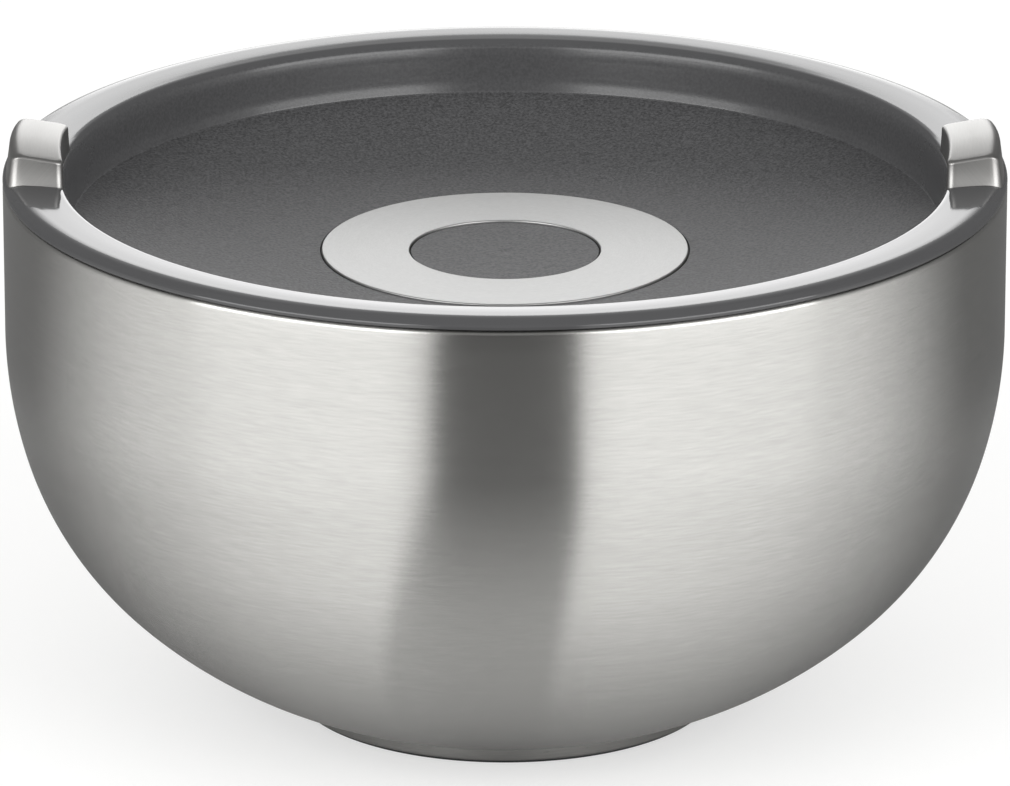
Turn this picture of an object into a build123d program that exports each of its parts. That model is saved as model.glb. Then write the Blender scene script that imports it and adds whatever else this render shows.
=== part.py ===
"""Insulated stainless serving bowl with a lift-off lid.

Millimetres, +Z up, origin at the centre of the foot's underside, grips on the X axis.
"""
import os
from math import asin, cos, degrees, radians, sin, sqrt

from build123d import *

# Foot
foot_setback = 0.3
foot_width = 6.4
foot_top = 3.95
foot_round = 0.5
pad_width = 4.0
pad_depth = 1.1
pad_proud = 0.9
pad_round = 0.4

# Bowl, outside
bowl_radius = 120.0
mouth_height = 131.0
shell_wall = 0.8
shell_bend = 1.2
upper_arc = 105.0
upper_turn = 16.2
belly_arc = 82.6
belly_turn = 30.6
lower_arc = 112.0
lower_turn = 24.0
heel_arc = 1.5

# Bowl, inside
liner_wall = 0.7
wall_gap = 6.5
liner_bend = 1.5
liner_lower_turn = 16.0
liner_heel_arc = 34.0

# Lid cover
seat_gap = 0.3
rim_height = 2.45
rim_fall = 0.95
rim_outer_round = 2.2
rim_inner_round = 2.6
dish_gap = 0.3
dish_depth = 13.65
cover_wall = 2.2
floor_thickness = 2.4
floor_round = 1.0
wall_foot_rise = 0.4
centre_land = 2.0
centre_dish_radius = 1500.0
outer_dish_radius = 285.0

# Plug under the cover, with its seal
plug_gap = 1.8
plug_wall = 1.9
plug_depth = 32.0
plug_floor = 2.0
plug_round = 5.0
plug_inner_round = 2.0
groove_drop = 13.0
groove_height = 3.6
groove_depth = 1.8
groove_land = 1.2
lip_gap = 0.3
lip_tip = 0.8
lip_round = 0.25

# Ring inlay
inlay_outer = 44.0
inlay_inner = 22.9
inlay_thickness = 1.2
inlay_proud = 0.4
inlay_gap = 0.3
inlay_round = 0.35
tape_thickness = 0.25

# Grips
grip_land = 0.1
grip_setback = 0.8
grip_lean = 0.9
grip_slope = 9.5
grip_foot_half = 18.9
grip_foot_drop = 3.0
grip_crest_half = 15.6
grip_end_height = 7.3
grip_crown = 0.8
grip_end_hollow = 9.0
grip_round = 0.8
peg_radius = 1.6
peg_land = 1.2
peg_half_pitch = 9.0

# Overrun of a cut past the face it opens
cut_over = 2.0


def arc_run(arcs):
    """How far arcs that start upright and run into each other move in, and come down."""
    inward = 0.0
    down = 0.0
    start = 0.0
    for arc, turn in arcs:
        end = start + radians(turn)
        inward += arc * (cos(start) - cos(end))
        down += arc * (sin(end) - sin(start))
        start = end
    return inward, down


def wall_curve(radius, top, knee, arcs, inset):
    """Draw one side of a bowl wall: straight down from the mouth, then the arcs."""
    last = Line((radius - inset, top), (radius - inset, knee))
    for arc, turn in arcs:
        last = JernArc(last @ 1, last % 1, arc - inset, -turn)
    return last @ 1


# Outer shell: the arcs end level, on the flat bottom over the foot.
shell_arcs = (
    (upper_arc, upper_turn),
    (belly_arc, belly_turn),
    (lower_arc, lower_turn),
    (heel_arc, 90.0 - upper_turn - belly_turn - lower_turn),
)
shell_inward, shell_down = arc_run(shell_arcs)
knee_height = foot_top + shell_down
shell_top = mouth_height - shell_bend
liner_outer = bowl_radius - shell_wall - wall_gap
liner_inner = liner_outer - liner_wall
flange_inner = liner_outer + liner_bend
flange_outer = bowl_radius - shell_bend

with BuildPart() as outer_shell:
    with BuildSketch(Plane.XZ):
        with BuildLine():
            shell_low = wall_curve(bowl_radius, shell_top, knee_height, shell_arcs, 0.0)
            shell_in = wall_curve(bowl_radius, shell_top, knee_height, shell_arcs, shell_wall)
            under = mouth_height - shell_wall
            JernArc((bowl_radius, shell_top), (0, 1), shell_bend, 90)
            Line((flange_outer, mouth_height), (flange_inner, mouth_height))
            Line((flange_inner, mouth_height), (flange_inner, under))
            Line((flange_inner, under), (flange_outer, under))
            JernArc((flange_outer, under), (1, 0), shell_bend - shell_wall, -90)
            Line(shell_in, (0, shell_in.Y))
            Line((0, shell_in.Y), (0, shell_low.Y))
            Line((0, shell_low.Y), shell_low)
        make_face()
    revolve(axis=Axis.Z)

# Inner liner: the same wall moved in by the air gap, with a wider heel.
inset = shell_wall + wall_gap
liner_arcs = (
    (upper_arc - inset, upper_turn),
    (belly_arc - inset, belly_turn),
    (lower_arc - inset, liner_lower_turn),
    (liner_heel_arc, 90.0 - upper_turn - belly_turn - liner_lower_turn),
)
flange_top = mouth_height - shell_wall
flange_under = flange_top - liner_wall
liner_top = flange_under - liner_bend

with BuildPart() as inner_liner:
    with BuildSketch(Plane.XZ):
        with BuildLine():
            liner_low = wall_curve(liner_outer, liner_top, knee_height, liner_arcs, 0.0)
            liner_in = wall_curve(liner_outer, liner_top, knee_height, liner_arcs, liner_wall)
            JernArc((liner_outer, liner_top), (0, 1), liner_bend, -90)
            Line((flange_inner, flange_under), (flange_outer, flange_under))
            Line((flange_outer, flange_under), (flange_outer, flange_top))
            Line((flange_outer, flange_top), (flange_inner, flange_top))
            JernArc((flange_inner, flange_top), (-1, 0), liner_bend + liner_wall, 90)
            Line(liner_in, (0, liner_in.Y))
            Line((0, liner_in.Y), (0, liner_low.Y))
            Line((0, liner_low.Y), liner_low)
        make_face()
    revolve(axis=Axis.Z)

# Foot ring at the edge of the flat bottom, with a groove for the pad.
foot_radius = bowl_radius - shell_inward - foot_setback
foot_mid = foot_radius - foot_width / 2
foot_low = pad_proud

with BuildPart() as foot_ring:
    with BuildSketch(Plane.XZ):
        with Locations((foot_mid, foot_low)):
            Rectangle(foot_width, foot_top - foot_low, align=(Align.CENTER, Align.MIN))
        foot_corner = vertices().sort_by_distance((foot_radius, foot_low))[0]
        fillet(foot_corner, foot_round)
        with Locations((foot_mid, foot_low)):
            Rectangle(pad_width, pad_depth, align=(Align.CENTER, Align.MIN), mode=Mode.SUBTRACT)
    revolve(axis=Axis.Z)

with BuildPart() as foot_pad:
    with BuildSketch(Plane.XZ):
        with Locations((foot_mid, 0)):
            Rectangle(pad_width, pad_proud + pad_depth, align=(Align.CENTER, Align.MIN))
        fillet(vertices().group_by(Axis.Y)[0], pad_round)
    revolve(axis=Axis.Z)

# Plug sizes: it hangs in the mouth, and the cover's wall hangs in it.
rim_low = mouth_height + seat_gap
plug_radius = liner_inner - plug_gap
plug_bore = plug_radius - plug_wall
groove_radius = plug_radius - groove_depth
plug_inner = groove_radius - plug_wall
plug_low = rim_low - plug_depth
plug_inside = plug_low + plug_floor
groove_top = rim_low - groove_drop
groove_low = groove_top - groove_height
step_height = groove_top + groove_land

# Lid cover: rim, wall and dished floor in one moulding.
rim_crest = rim_low + rim_height
rim_edge = rim_crest - rim_fall
floor_edge = rim_crest - dish_depth
wall_outer = plug_bore - dish_gap
wall_lean = (wall_outer - plug_inner + dish_gap) / (rim_low - step_height)
dish_top_radius = wall_outer - cover_wall
dish_floor_radius = dish_top_radius - wall_lean * (rim_edge - floor_edge)
peg_circle = plug_radius + peg_land + peg_radius
centre_zone = inlay_outer + centre_land
centre_turn = degrees(asin(centre_zone / centre_dish_radius))
edge_sine = (dish_floor_radius - centre_zone) / outer_dish_radius + sin(radians(centre_turn))
outer_turn = degrees(asin(edge_sine)) - centre_turn
centre_rise = centre_dish_radius * (1 - cos(radians(centre_turn)))
outer_rise = outer_dish_radius * (cos(radians(centre_turn)) - cos(asin(edge_sine)))
floor_centre = floor_edge - outer_rise - centre_rise
inlay_recess = inlay_thickness + tape_thickness - inlay_proud


def floor_curve(drop):
    """Draw the dished floor from the axis outwards, a given thickness below its top."""
    start = (0, floor_centre - drop)
    middle = JernArc(start, (1, 0), centre_dish_radius + drop, centre_turn)
    edge = JernArc(middle @ 1, middle % 1, outer_dish_radius + drop, outer_turn)
    return edge @ 1


def ring_band(inner, outer, top, low):
    """Draw a ring's section between two depths below the top of the dished floor."""
    sections = []
    for depth in (top, low):
        reach = centre_dish_radius + depth
        for radius in (inner, (inner + outer) / 2, outer):
            height = floor_centre + centre_dish_radius - sqrt(reach**2 - radius**2)
            sections.append((radius, height))
    ThreePointArc(sections[0], sections[1], sections[2])
    Line(sections[2], sections[5])
    ThreePointArc(sections[5], sections[4], sections[3])
    Line(sections[3], sections[0])


with BuildPart() as lid_cover:
    with BuildSketch(Plane.XZ):
        with BuildLine():
            floor_tip = floor_curve(0.0)
            floor_under = floor_curve(floor_thickness)
            Line((0, floor_centre), (0, floor_centre - floor_thickness))
            foot_level = floor_under.Y + wall_foot_rise
            Polyline(
                floor_under,
                (wall_outer - wall_lean * (rim_low - foot_level), foot_level),
                (wall_outer, rim_low),
                (bowl_radius, rim_low),
                (bowl_radius, rim_crest),
                (dish_top_radius, rim_edge),
                floor_tip,
            )
        make_face()
        rim_corner = vertices().sort_by_distance((bowl_radius, rim_crest))[0]
        fillet(rim_corner, min(rim_outer_round, 0.9 * rim_height))
        fillet(vertices().sort_by_distance((dish_top_radius, rim_edge))[0], rim_inner_round)
        fillet(vertices().sort_by_distance(floor_tip)[0], floor_round)
    revolve(axis=Axis.Z)
    with BuildSketch(Plane.XZ):
        with BuildLine():
            ring_band(inlay_inner - inlay_gap, inlay_outer + inlay_gap, -cut_over, inlay_recess)
        make_face()
    revolve(axis=Axis.Z, mode=Mode.SUBTRACT)
    with BuildSketch(Plane.XY.offset(rim_low)):
        with Locations(
            (peg_circle, peg_half_pitch),
            (peg_circle, -peg_half_pitch),
            (-peg_circle, peg_half_pitch),
            (-peg_circle, -peg_half_pitch),
        ):
            Circle(peg_radius)
    extrude(amount=rim_height + cut_over, mode=Mode.SUBTRACT)

# Steel ring in the floor, on its adhesive ring.
with BuildPart() as inlay_tape:
    with BuildSketch(Plane.XZ):
        with BuildLine():
            ring_band(inlay_inner, inlay_outer, inlay_recess - tape_thickness, inlay_recess)
        make_face()
    revolve(axis=Axis.Z)

with BuildPart() as ring_inlay:
    with BuildSketch(Plane.XZ):
        with BuildLine():
            ring_band(inlay_inner, inlay_outer, -inlay_proud, inlay_recess - tape_thickness)
        make_face()
        fillet(vertices().sort_by(Axis.Y)[-2:], inlay_round)
    revolve(axis=Axis.Z)

# Plug: a cup welded to the rim's underside, with the seal groove round it.
with BuildPart() as lid_base:
    with BuildSketch(Plane.XZ):
        with BuildLine():
            Polyline(
                (0, plug_low),
                (plug_radius, plug_low),
                (plug_radius, groove_low),
                (groove_radius, groove_low),
                (groove_radius, groove_top),
                (plug_radius, groove_top),
                (plug_radius, rim_low),
                (plug_bore, rim_low),
                (plug_bore, step_height),
                (plug_inner, step_height),
                (plug_inner, plug_inside),
                (0, plug_inside),
                close=True,
            )
        make_face()
        fillet(vertices().sort_by_distance((plug_radius, plug_low))[0], plug_round)
        fillet(vertices().sort_by_distance((plug_inner, plug_inside))[0], plug_inner_round)
    revolve(axis=Axis.Z)

lip_radius = liner_inner - lip_gap
lip_mid = (groove_top + groove_low) / 2

with BuildPart() as lid_seal:
    with BuildSketch(Plane.XZ):
        with BuildLine():
            Polyline(
                (groove_radius, groove_low),
                (plug_radius, groove_low),
                (lip_radius, lip_mid),
                (lip_radius, lip_mid + lip_tip),
                (plug_radius, groove_top),
                (groove_radius, groove_top),
                close=True,
            )
        make_face()
        fillet(vertices().sort_by(Axis.X)[-2:], lip_round)
    revolve(axis=Axis.Z)

# Foam disc between the plug's floor and the underside of the dish.
with BuildPart() as lid_insulation:
    with BuildSketch(Plane.XZ):
        with BuildLine():
            foam_edge = floor_curve(floor_thickness)
            Polyline(
                foam_edge,
                (foam_edge.X, plug_inside),
                (0, plug_inside),
                (0, floor_centre - floor_thickness),
            )
        make_face()
    revolve(axis=Axis.Z)

# Grips: hollow-ended blocks that lean in, seated on the rim, their pegs filling the rim's holes.
grip_inner = dish_top_radius + grip_land
grip_outer = bowl_radius - grip_setback
grip_mid_height = grip_end_height + grip_crown
grip_above = rim_crest + grip_mid_height + cut_over
tilt = radians(grip_slope)
grip_plane = Plane(
    origin=(grip_outer, 0, rim_crest),
    x_dir=(0, -1, 0),
    z_dir=(-cos(tilt), 0, -sin(tilt)),
)

with BuildPart() as grip_right:
    with BuildSketch(grip_plane):
        with BuildLine():
            left_foot = (-grip_foot_half, -grip_foot_drop)
            left_crest = (-grip_crest_half, grip_end_height)
            right_crest = (grip_crest_half, grip_end_height)
            right_foot = (grip_foot_half, -grip_foot_drop)
            RadiusArc(left_crest, left_foot, grip_end_hollow)
            RadiusArc(right_crest, right_foot, -grip_end_hollow)
            ThreePointArc(left_crest, (0, grip_mid_height), right_crest)
            Line(left_foot, right_foot)
        make_face()
    extrude(amount=grip_outer - grip_inner + grip_foot_half, both=True)
    with BuildSketch(Plane.XZ):
        with BuildLine():
            Polyline(
                (grip_inner, rim_low),
                (grip_outer, rim_low),
                (grip_outer - grip_lean, grip_above),
                (grip_inner, grip_above),
                close=True,
            )
        make_face()
    revolve(axis=Axis.Z, mode=Mode.INTERSECT)
    grip_top = faces().sort_by(lambda face: face.normal_at().Z * face.area)[-1]
    fillet(grip_top.edges(), grip_round)
    add(lid_cover.part, mode=Mode.SUBTRACT)

with BuildPart() as grip_left:
    mirror(grip_right.part, about=Plane.YZ)

os.makedirs("parts", exist_ok=True)
outer_shell.part.label = "outer_shell"
export_step(outer_shell.part, "parts/outer_shell.step")
inner_liner.part.label = "inner_liner"
export_step(inner_liner.part, "parts/inner_liner.step")
foot_ring.part.label = "foot_ring"
export_step(foot_ring.part, "parts/foot_ring.step")
foot_pad.part.label = "foot_pad"
export_step(foot_pad.part, "parts/foot_pad.step")
lid_cover.part.label = "lid_cover"
export_step(lid_cover.part, "parts/lid_cover.step")
lid_base.part.label = "lid_base"
export_step(lid_base.part, "parts/lid_base.step")
lid_insulation.part.label = "lid_insulation"
export_step(lid_insulation.part, "parts/lid_insulation.step")
lid_seal.part.label = "lid_seal"
export_step(lid_seal.part, "parts/lid_seal.step")
ring_inlay.part.label = "ring_inlay"
export_step(ring_inlay.part, "parts/ring_inlay.step")
inlay_tape.part.label = "inlay_tape"
export_step(inlay_tape.part, "parts/inlay_tape.step")
grip_left.part.label = "grip_left"
export_step(grip_left.part, "parts/grip_left.step")
grip_right.part.label = "grip_right"
export_step(grip_right.part, "parts/grip_right.step")
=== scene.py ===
"""Pieces, finishes and stage of an insulated stainless bowl with a lift-off lid."""

import bpy
import numpy as np
from bpy.props import FloatProperty, FloatVectorProperty, PointerProperty
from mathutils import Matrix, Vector


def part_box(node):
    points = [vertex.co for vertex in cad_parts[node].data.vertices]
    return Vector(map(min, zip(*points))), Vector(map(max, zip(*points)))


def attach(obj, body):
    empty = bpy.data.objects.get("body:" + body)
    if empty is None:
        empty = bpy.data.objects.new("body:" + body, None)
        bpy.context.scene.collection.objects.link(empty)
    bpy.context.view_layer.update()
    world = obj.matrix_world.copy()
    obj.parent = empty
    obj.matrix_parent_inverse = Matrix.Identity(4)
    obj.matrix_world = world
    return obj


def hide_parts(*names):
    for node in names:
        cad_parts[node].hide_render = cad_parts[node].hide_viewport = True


bl_info = {
    "name": "Insulated bowl with lid",
    "version": (1, 0, 0),
    "blender": (4, 5, 0),
    "location": "3D View > Sidebar > Bowl",
    "description": "Builds the visible pieces of an insulated steel bowl and its lid",
    "category": "Add Mesh",
}

MM = 0.001
SIDES = 384

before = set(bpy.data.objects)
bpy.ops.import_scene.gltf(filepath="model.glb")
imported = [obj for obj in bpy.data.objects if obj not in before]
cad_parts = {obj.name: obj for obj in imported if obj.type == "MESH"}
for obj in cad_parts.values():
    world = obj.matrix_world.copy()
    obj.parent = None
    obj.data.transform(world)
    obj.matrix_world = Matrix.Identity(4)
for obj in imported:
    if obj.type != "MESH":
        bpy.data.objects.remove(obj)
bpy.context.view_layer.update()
SHELL_LOW, SHELL_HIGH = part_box("outer_shell")
FOOT_LOW, FOOT_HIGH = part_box("foot_ring")
PLUG_LOW, PLUG_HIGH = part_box("lid_base")
SEAL_LOW, SEAL_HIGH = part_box("lid_seal")
RING_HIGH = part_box("ring_inlay")[1]


def linear(code):
    """An sRGB hex colour as linear red, green and blue."""
    parts = np.array([int(code[i : i + 2], 16) for i in (1, 3, 5)]) / 255
    return tuple(np.where(parts <= 0.04045, parts / 12.92, ((parts + 0.055) / 1.055) ** 2.4).tolist())


def size(label, text, default):
    """A length that a user may change."""
    return FloatProperty(name=label, description=text, default=default, min=0.0, precision=5, unit="LENGTH")


def angle(label, text, degrees):
    """An angle that a user may change."""
    return FloatProperty(name=label, description=text, default=float(np.radians(degrees)), subtype="ANGLE")


def colour(label, text, code):
    """A colour that a user may change, given as sRGB hex."""
    return FloatVectorProperty(
        name=label, description=text, default=linear(code), subtype="COLOR", min=0, max=1
    )


class BowlSizes(bpy.types.PropertyGroup):
    """Sizes of the two steel walls and the foot."""

    radius: size("Bowl radius", "Outside of the straight wall", SHELL_HIGH.x)
    mouth: size("Mouth height", "Top of the steel above the table", SHELL_HIGH.z)
    base: size("Base height", "Underside of the shell's flat bottom", SHELL_LOW.z)
    shell_wall: size("Shell wall", "Thickness of the outer steel", 0.8 * MM)
    shell_bend: size("Mouth bend", "Outer radius of the bend at the mouth", 1.2 * MM)
    upper_arc: size("Upper arc", "Radius of the curve under the straight wall", 105 * MM)
    upper_turn: angle("Upper turn", "Turn of the upper arc", 16.2)
    belly_arc: size("Belly arc", "Radius of the belly", 82.6 * MM)
    belly_turn: angle("Belly turn", "Turn of the belly", 30.6)
    lower_arc: size("Lower arc", "Radius of the curve towards the foot", 112 * MM)
    lower_turn: angle("Lower turn", "Turn of the lower arc", 24.0)
    heel_arc: size("Heel arc", "Radius into the flat bottom", 1.5 * MM)
    liner_wall: size("Liner wall", "Thickness of the inner steel", 0.7 * MM)
    wall_gap: size("Air gap", "Gap between the two walls", 6.5 * MM)
    liner_bend: size("Liner bend", "Inner radius of the liner's mouth bend", 1.5 * MM)
    liner_turn: angle("Liner lower turn", "Turn of the liner's lower arc", 16.0)
    liner_heel: size("Liner heel", "Radius into the liner's floor", 34.0 * MM)
    foot_radius: size("Foot radius", "Outside of the foot ring", FOOT_HIGH.x)
    foot_width: size("Foot width", "Radial width of the foot ring", 6.4 * MM)
    foot_low: size("Foot height", "Underside of the steel foot ring", FOOT_LOW.z)
    foot_outer_round: size("Foot outer round", "Radius of the foot's lower outer edge", 0.5 * MM)
    foot_inner_round: size("Foot inner round", "Radius of the foot's lower inner edge", 0.3 * MM)
    foot_edge: size("Foot edges", "Radius of the other edges of foot and groove", 0.15 * MM)
    pad_width: size("Pad width", "Radial width of the silicone pad", 4.0 * MM)
    pad_depth: size("Pad depth", "Depth of the pad's groove", 1.1 * MM)
    pad_round: size("Pad round", "Radius of the pad's lower edges", 0.4 * MM)
    sheet_edge: size("Sheet edge", "Radius of the cut edges of the sheet steel", 0.2 * MM)


class LidSizes(bpy.types.PropertyGroup):
    """Sizes of the lid's mouldings, ring and grips."""

    rim_low: size("Rim underside", "Underside of the rim above the table", PLUG_HIGH.z)
    rim_height: size("Rim height", "Height of the rim's outer edge", 2.45 * MM)
    rim_fall: size("Rim fall", "Fall of the rim's top towards the dish", 0.95 * MM)
    rim_side: size("Rim side", "Top of the rim's upright side, below the crest", 1.35 * MM)
    rim_side_round: size("Side round", "Radius from the rim's side into its roll", 1.0 * MM)
    roll_width: size("Roll width", "How far in the rim's rolled edge reaches", 3.2 * MM)
    roll_drop: size("Roll drop", "Inner end of the roll, below the crest", 0.22 * MM)
    roll_round: size("Roll round", "Radius from the roll onto the rim's top", 10.0 * MM)
    crown_drop: size("Crown drop", "Middle of the rim's top, below the crest", 0.42 * MM)
    crown_arc: size("Crown arc", "Radius of the crown of the rim's top", 70 * MM)
    rim_inner_round: size("Inner round", "Radius from the rim into the dish", 2.6 * MM)
    moulded_edge: size("Moulded edges", "Radius of the cover's unseen edges", 0.2 * MM)
    dish_radius: size("Dish radius", "Top of the dish's wall", 105.8 * MM)
    dish_depth: size("Dish depth", "From the rim's crest to the floor's edge", 13.65 * MM)
    dish_draft: size("Dish draft", "How far the wall leans in to the floor", 1.94 * MM)
    wall_arc: size("Wall curves", "Radius of the dish wall's two gentle bends", 14.0 * MM)
    shoulder_in: size("Shoulder inset", "How far in the wall's upper bend is", 0.85 * MM)
    shoulder_drop: size("Shoulder drop", "Upper bend below the rim's inner edge", 3.6 * MM)
    bend_in: size("Bend inset", "How far in the wall's lower bend is", 1.1 * MM)
    bend_rise: size("Bend rise", "Lower bend above the floor's edge", 3.2 * MM)
    wall_foot: size("Wall foot", "Outer foot of the wall above the floor's underside", 0.4 * MM)
    dish_wall: size("Dish wall", "Thickness of the moulded wall", 2.2 * MM)
    floor_thickness: size("Floor thickness", "Thickness of the dished floor", 2.4 * MM)
    floor_round: size("Floor round", "Radius from the wall into the floor", 0.6 * MM)
    floor_zone: size("Middle zone", "Radius of the nearly flat middle", 46.0 * MM)
    middle_arc: size("Middle arc", "Dish radius of the middle", 1500 * MM)
    outer_arc: size("Outer arc", "Dish radius of the floor outside it", 285 * MM)
    ring_outer: size("Ring outside", "Outer radius of the steel ring", RING_HIGH.x)
    ring_inner: size("Ring inside", "Inner radius of the steel ring", 22.9 * MM)
    ring_thickness: size("Ring thickness", "Thickness of the steel ring", 1.2 * MM)
    ring_proud: size("Ring height", "How far the ring stands above the floor", 0.4 * MM)
    ring_gap: size("Ring gap", "Gap round the ring in its recess", 0.3 * MM)
    ring_round: size("Ring edge", "Radius of the ring's top edges", 0.35 * MM)
    ring_under: size("Ring under edge", "Radius of the ring's lower edges", 0.1 * MM)
    recess: size("Recess", "Depth of the ring's recess", 1.05 * MM)
    recess_edge: size("Recess edge", "Radius of the recess's top edges", 0.15 * MM)
    recess_corner: size("Recess corner", "Radius at the bottom of the recess", 0.1 * MM)
    plug_radius: size("Plug radius", "Outside of the plug", PLUG_HIGH.x)
    plug_low: size("Plug underside", "Underside of the plug above the table", PLUG_LOW.z)
    plug_wall: size("Plug wall", "Thickness of the plug's wall", 1.9 * MM)
    plug_floor: size("Plug floor", "Thickness of the plug's floor", 2.0 * MM)
    plug_round: size("Plug round", "Radius of the plug's lower edge", 5.0 * MM)
    plug_inner_round: size("Plug inner round", "Radius at the bottom inside the plug", 2.0 * MM)
    plug_edge: size("Plug edges", "Radius of the edges of plug and seal", 0.25 * MM)
    groove_depth: size("Groove depth", "Depth of the seal's groove", 1.8 * MM)
    groove_land: size("Groove land", "Step inside the plug, above the seal's groove", 1.2 * MM)
    seal_top: size("Seal top", "Top of the seal's groove", SEAL_HIGH.z)
    seal_low: size("Seal underside", "Underside of the seal's groove", SEAL_LOW.z)
    seal_reach: size("Seal reach", "Radius of the seal's lip", SEAL_HIGH.x)
    seal_tip: size("Seal tip", "Height of the seal's blunt lip", 0.8 * MM)
    grip_inner: size("Grip inside", "Radius of the grip's inner face", 105.9 * MM)
    grip_outer: size("Grip outside", "Radius of the grip's outer face", 119.2 * MM)
    grip_lean: size("Grip lean", "How far the outer face leans in at the top", 0.9 * MM)
    grip_slope: angle("Grip slope", "Fall of the grip's top towards the dish", 9.5)
    grip_half: size("Grip half length", "Half the length of the grip's top", 15.6 * MM)
    grip_foot: size("Grip foot", "Half the length at the foot of the hollow", 18.9 * MM)
    grip_drop: size("Foot drop", "Foot of the hollow below the rim's crest", 3.0 * MM)
    grip_end: size("Grip end height", "Height of the top at its ends", 7.3 * MM)
    grip_crown: size("Grip crown", "Extra height at the middle of the top", 0.8 * MM)
    grip_hollow: size("End hollow", "Radius of the hollow ends", 26.0 * MM)
    grip_round: size("Grip top edge", "Radius of the top edge", 0.85 * MM)
    grip_side: size("Grip side edge", "Radius of the top edge along the outside", 2.6 * MM)
    grip_corner: size("Grip corner", "Radius of the upright corners", 1.9 * MM)
    grip_sink: size("Grip sink", "How far the grip's foot sits in the rim's top", 0.05 * MM)


class Finishes(bpy.types.PropertyGroup):
    """Colours of the pieces."""

    steel: colour("Steel", "Brushed and satin stainless steel", "#cfcecb")
    ring: colour("Ring", "Satin steel ring in the lid", "#c6c6c5")
    abs_grey: colour("Lid", "Moulded lid", "#4c4c4d")
    plate: colour("Grips", "Satin plate on the moulded grips", "#a9a8a6")
    plug_grey: colour("Plug", "Moulded plug", "#4c4c4d")
    silicone: colour("Silicone", "Seal and foot pad", "#3a3b3c")
    foam: colour("Foam", "Insulating foam", "#e4dfd0")
    tape: colour("Tape", "Adhesive ring", "#b9b4a6")


def shell_path(bowl):
    """The outer wall's arcs as pairs of radius and turn, and the height of the knee they start at.

    The arcs start straight down and end level at the base. An arc of radius R that turns from
    t0 to t comes down by R (sin t - sin t0).
    """
    last = np.pi / 2 - bowl.upper_turn - bowl.belly_turn - bowl.lower_turn
    arcs = (
        (bowl.upper_arc, bowl.upper_turn),
        (bowl.belly_arc, bowl.belly_turn),
        (bowl.lower_arc, bowl.lower_turn),
        (bowl.heel_arc, last),
    )
    radii, turns = np.array(arcs).T
    ends = np.cumsum(turns)
    return arcs, bowl.base + radii @ (np.sin(ends) - np.sin(ends - turns))


def wall_line(radius, top, knee, arcs, inset, steps=24):
    """A bowl wall from the mouth down: straight to the knee, then arcs that run into each other.

    Along an arc of radius R the heading t turns from down to level, so the radius
    changes by R (cos t - cos t0) and the height by R (sin t0 - sin t).
    """
    rows = 9
    run = [np.column_stack((np.full(rows, radius - inset), np.linspace(top, knee, rows)))]
    turned = 0.0
    for arc, turn in arcs:
        t = np.linspace(turned, turned + turn, steps)[1:]
        last = run[-1][-1]
        across = last[0] + (arc - inset) * (np.cos(t) - np.cos(turned))
        down = last[1] + (arc - inset) * (np.sin(turned) - np.sin(t))
        run.append(np.column_stack((across, down)))
        turned += turn
    return np.concatenate(run)


def floor_line(lid, drop, steps=40):
    """The dished floor from the axis out, a given depth below its top.

    Along an arc of radius R the slope t grows from level, so the radius changes by
    R (sin t - sin t0) and the height by R (cos t0 - cos t).
    """
    floor_radius = lid.dish_radius - lid.dish_draft
    turn = np.arcsin(lid.floor_zone / lid.middle_arc)
    edge = np.arcsin((floor_radius - lid.floor_zone) / lid.outer_arc + np.sin(turn))
    t_in = np.linspace(0, turn, steps)
    t_out = np.linspace(turn, edge, steps)[1:]
    middle, outer = lid.middle_arc + drop, lid.outer_arc + drop
    r_in, z_in = middle * np.sin(t_in), middle * (1 - np.cos(t_in))
    r_out = r_in[-1] + outer * (np.sin(t_out) - np.sin(turn))
    z_out = z_in[-1] + outer * (np.cos(turn) - np.cos(t_out))
    rise = lid.middle_arc * (1 - np.cos(turn)) + lid.outer_arc * (np.cos(turn) - np.cos(edge))
    centre = lid.rim_low + lid.rim_height - lid.dish_depth - rise - drop
    return np.column_stack((np.append(r_in, r_out), centre + np.append(z_in, z_out)))


def rounded(corners, radii, steps=7):
    """An outline through the corners, with an arc at each one that has a radius.

    The arc touches both sides at radius / tan(half the inside angle) from the corner. Each
    straight run gets a point near its ends, so that shading stays flat along it.
    """
    corners, radii = np.asarray(corners, float), np.asarray(radii, float)
    back, ahead = np.roll(corners, 1, axis=0) - corners, np.roll(corners, -1, axis=0) - corners
    far_back, far_ahead = np.linalg.norm(back, axis=1), np.linalg.norm(ahead, axis=1)
    back, ahead = back / far_back[:, None], ahead / far_ahead[:, None]
    half = np.arccos(np.clip(np.sum(back * ahead, axis=1), -1, 1)) / 2
    reach = radii / np.tan(half)
    hold, most = 0.2 * radii, 0.3
    hold_back = np.minimum(hold, most * (far_back - reach - np.roll(reach, 1)))
    hold_ahead = np.minimum(hold, most * (far_ahead - reach - np.roll(reach, -1)))
    slack = 0.001 * MM
    if min(hold_back[radii > 0].min(), hold_ahead[radii > 0].min()) < -slack:
        raise ValueError("two rounds of an outline run into each other")
    line = []
    share = np.linspace(0, 1, steps)[:, None]
    for i, corner in enumerate(corners):
        if radii[i] == 0:
            line.append(corner[None])
            continue
        inward = (back[i] + ahead[i]) / np.linalg.norm(back[i] + ahead[i])
        middle = corner + inward * radii[i] / np.sin(half[i])
        first, last = corner + back[i] * reach[i] - middle, corner + ahead[i] * reach[i] - middle
        whole = np.pi - 2 * half[i]
        arc = (np.sin((1 - share) * whole) * first + np.sin(share * whole) * last) / np.sin(whole)
        line.append((middle + first + back[i] * hold_back[i])[None])
        line.append(middle + arc)
        line.append((middle + last + ahead[i] * hold_ahead[i])[None])
    return np.concatenate(line)


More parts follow.
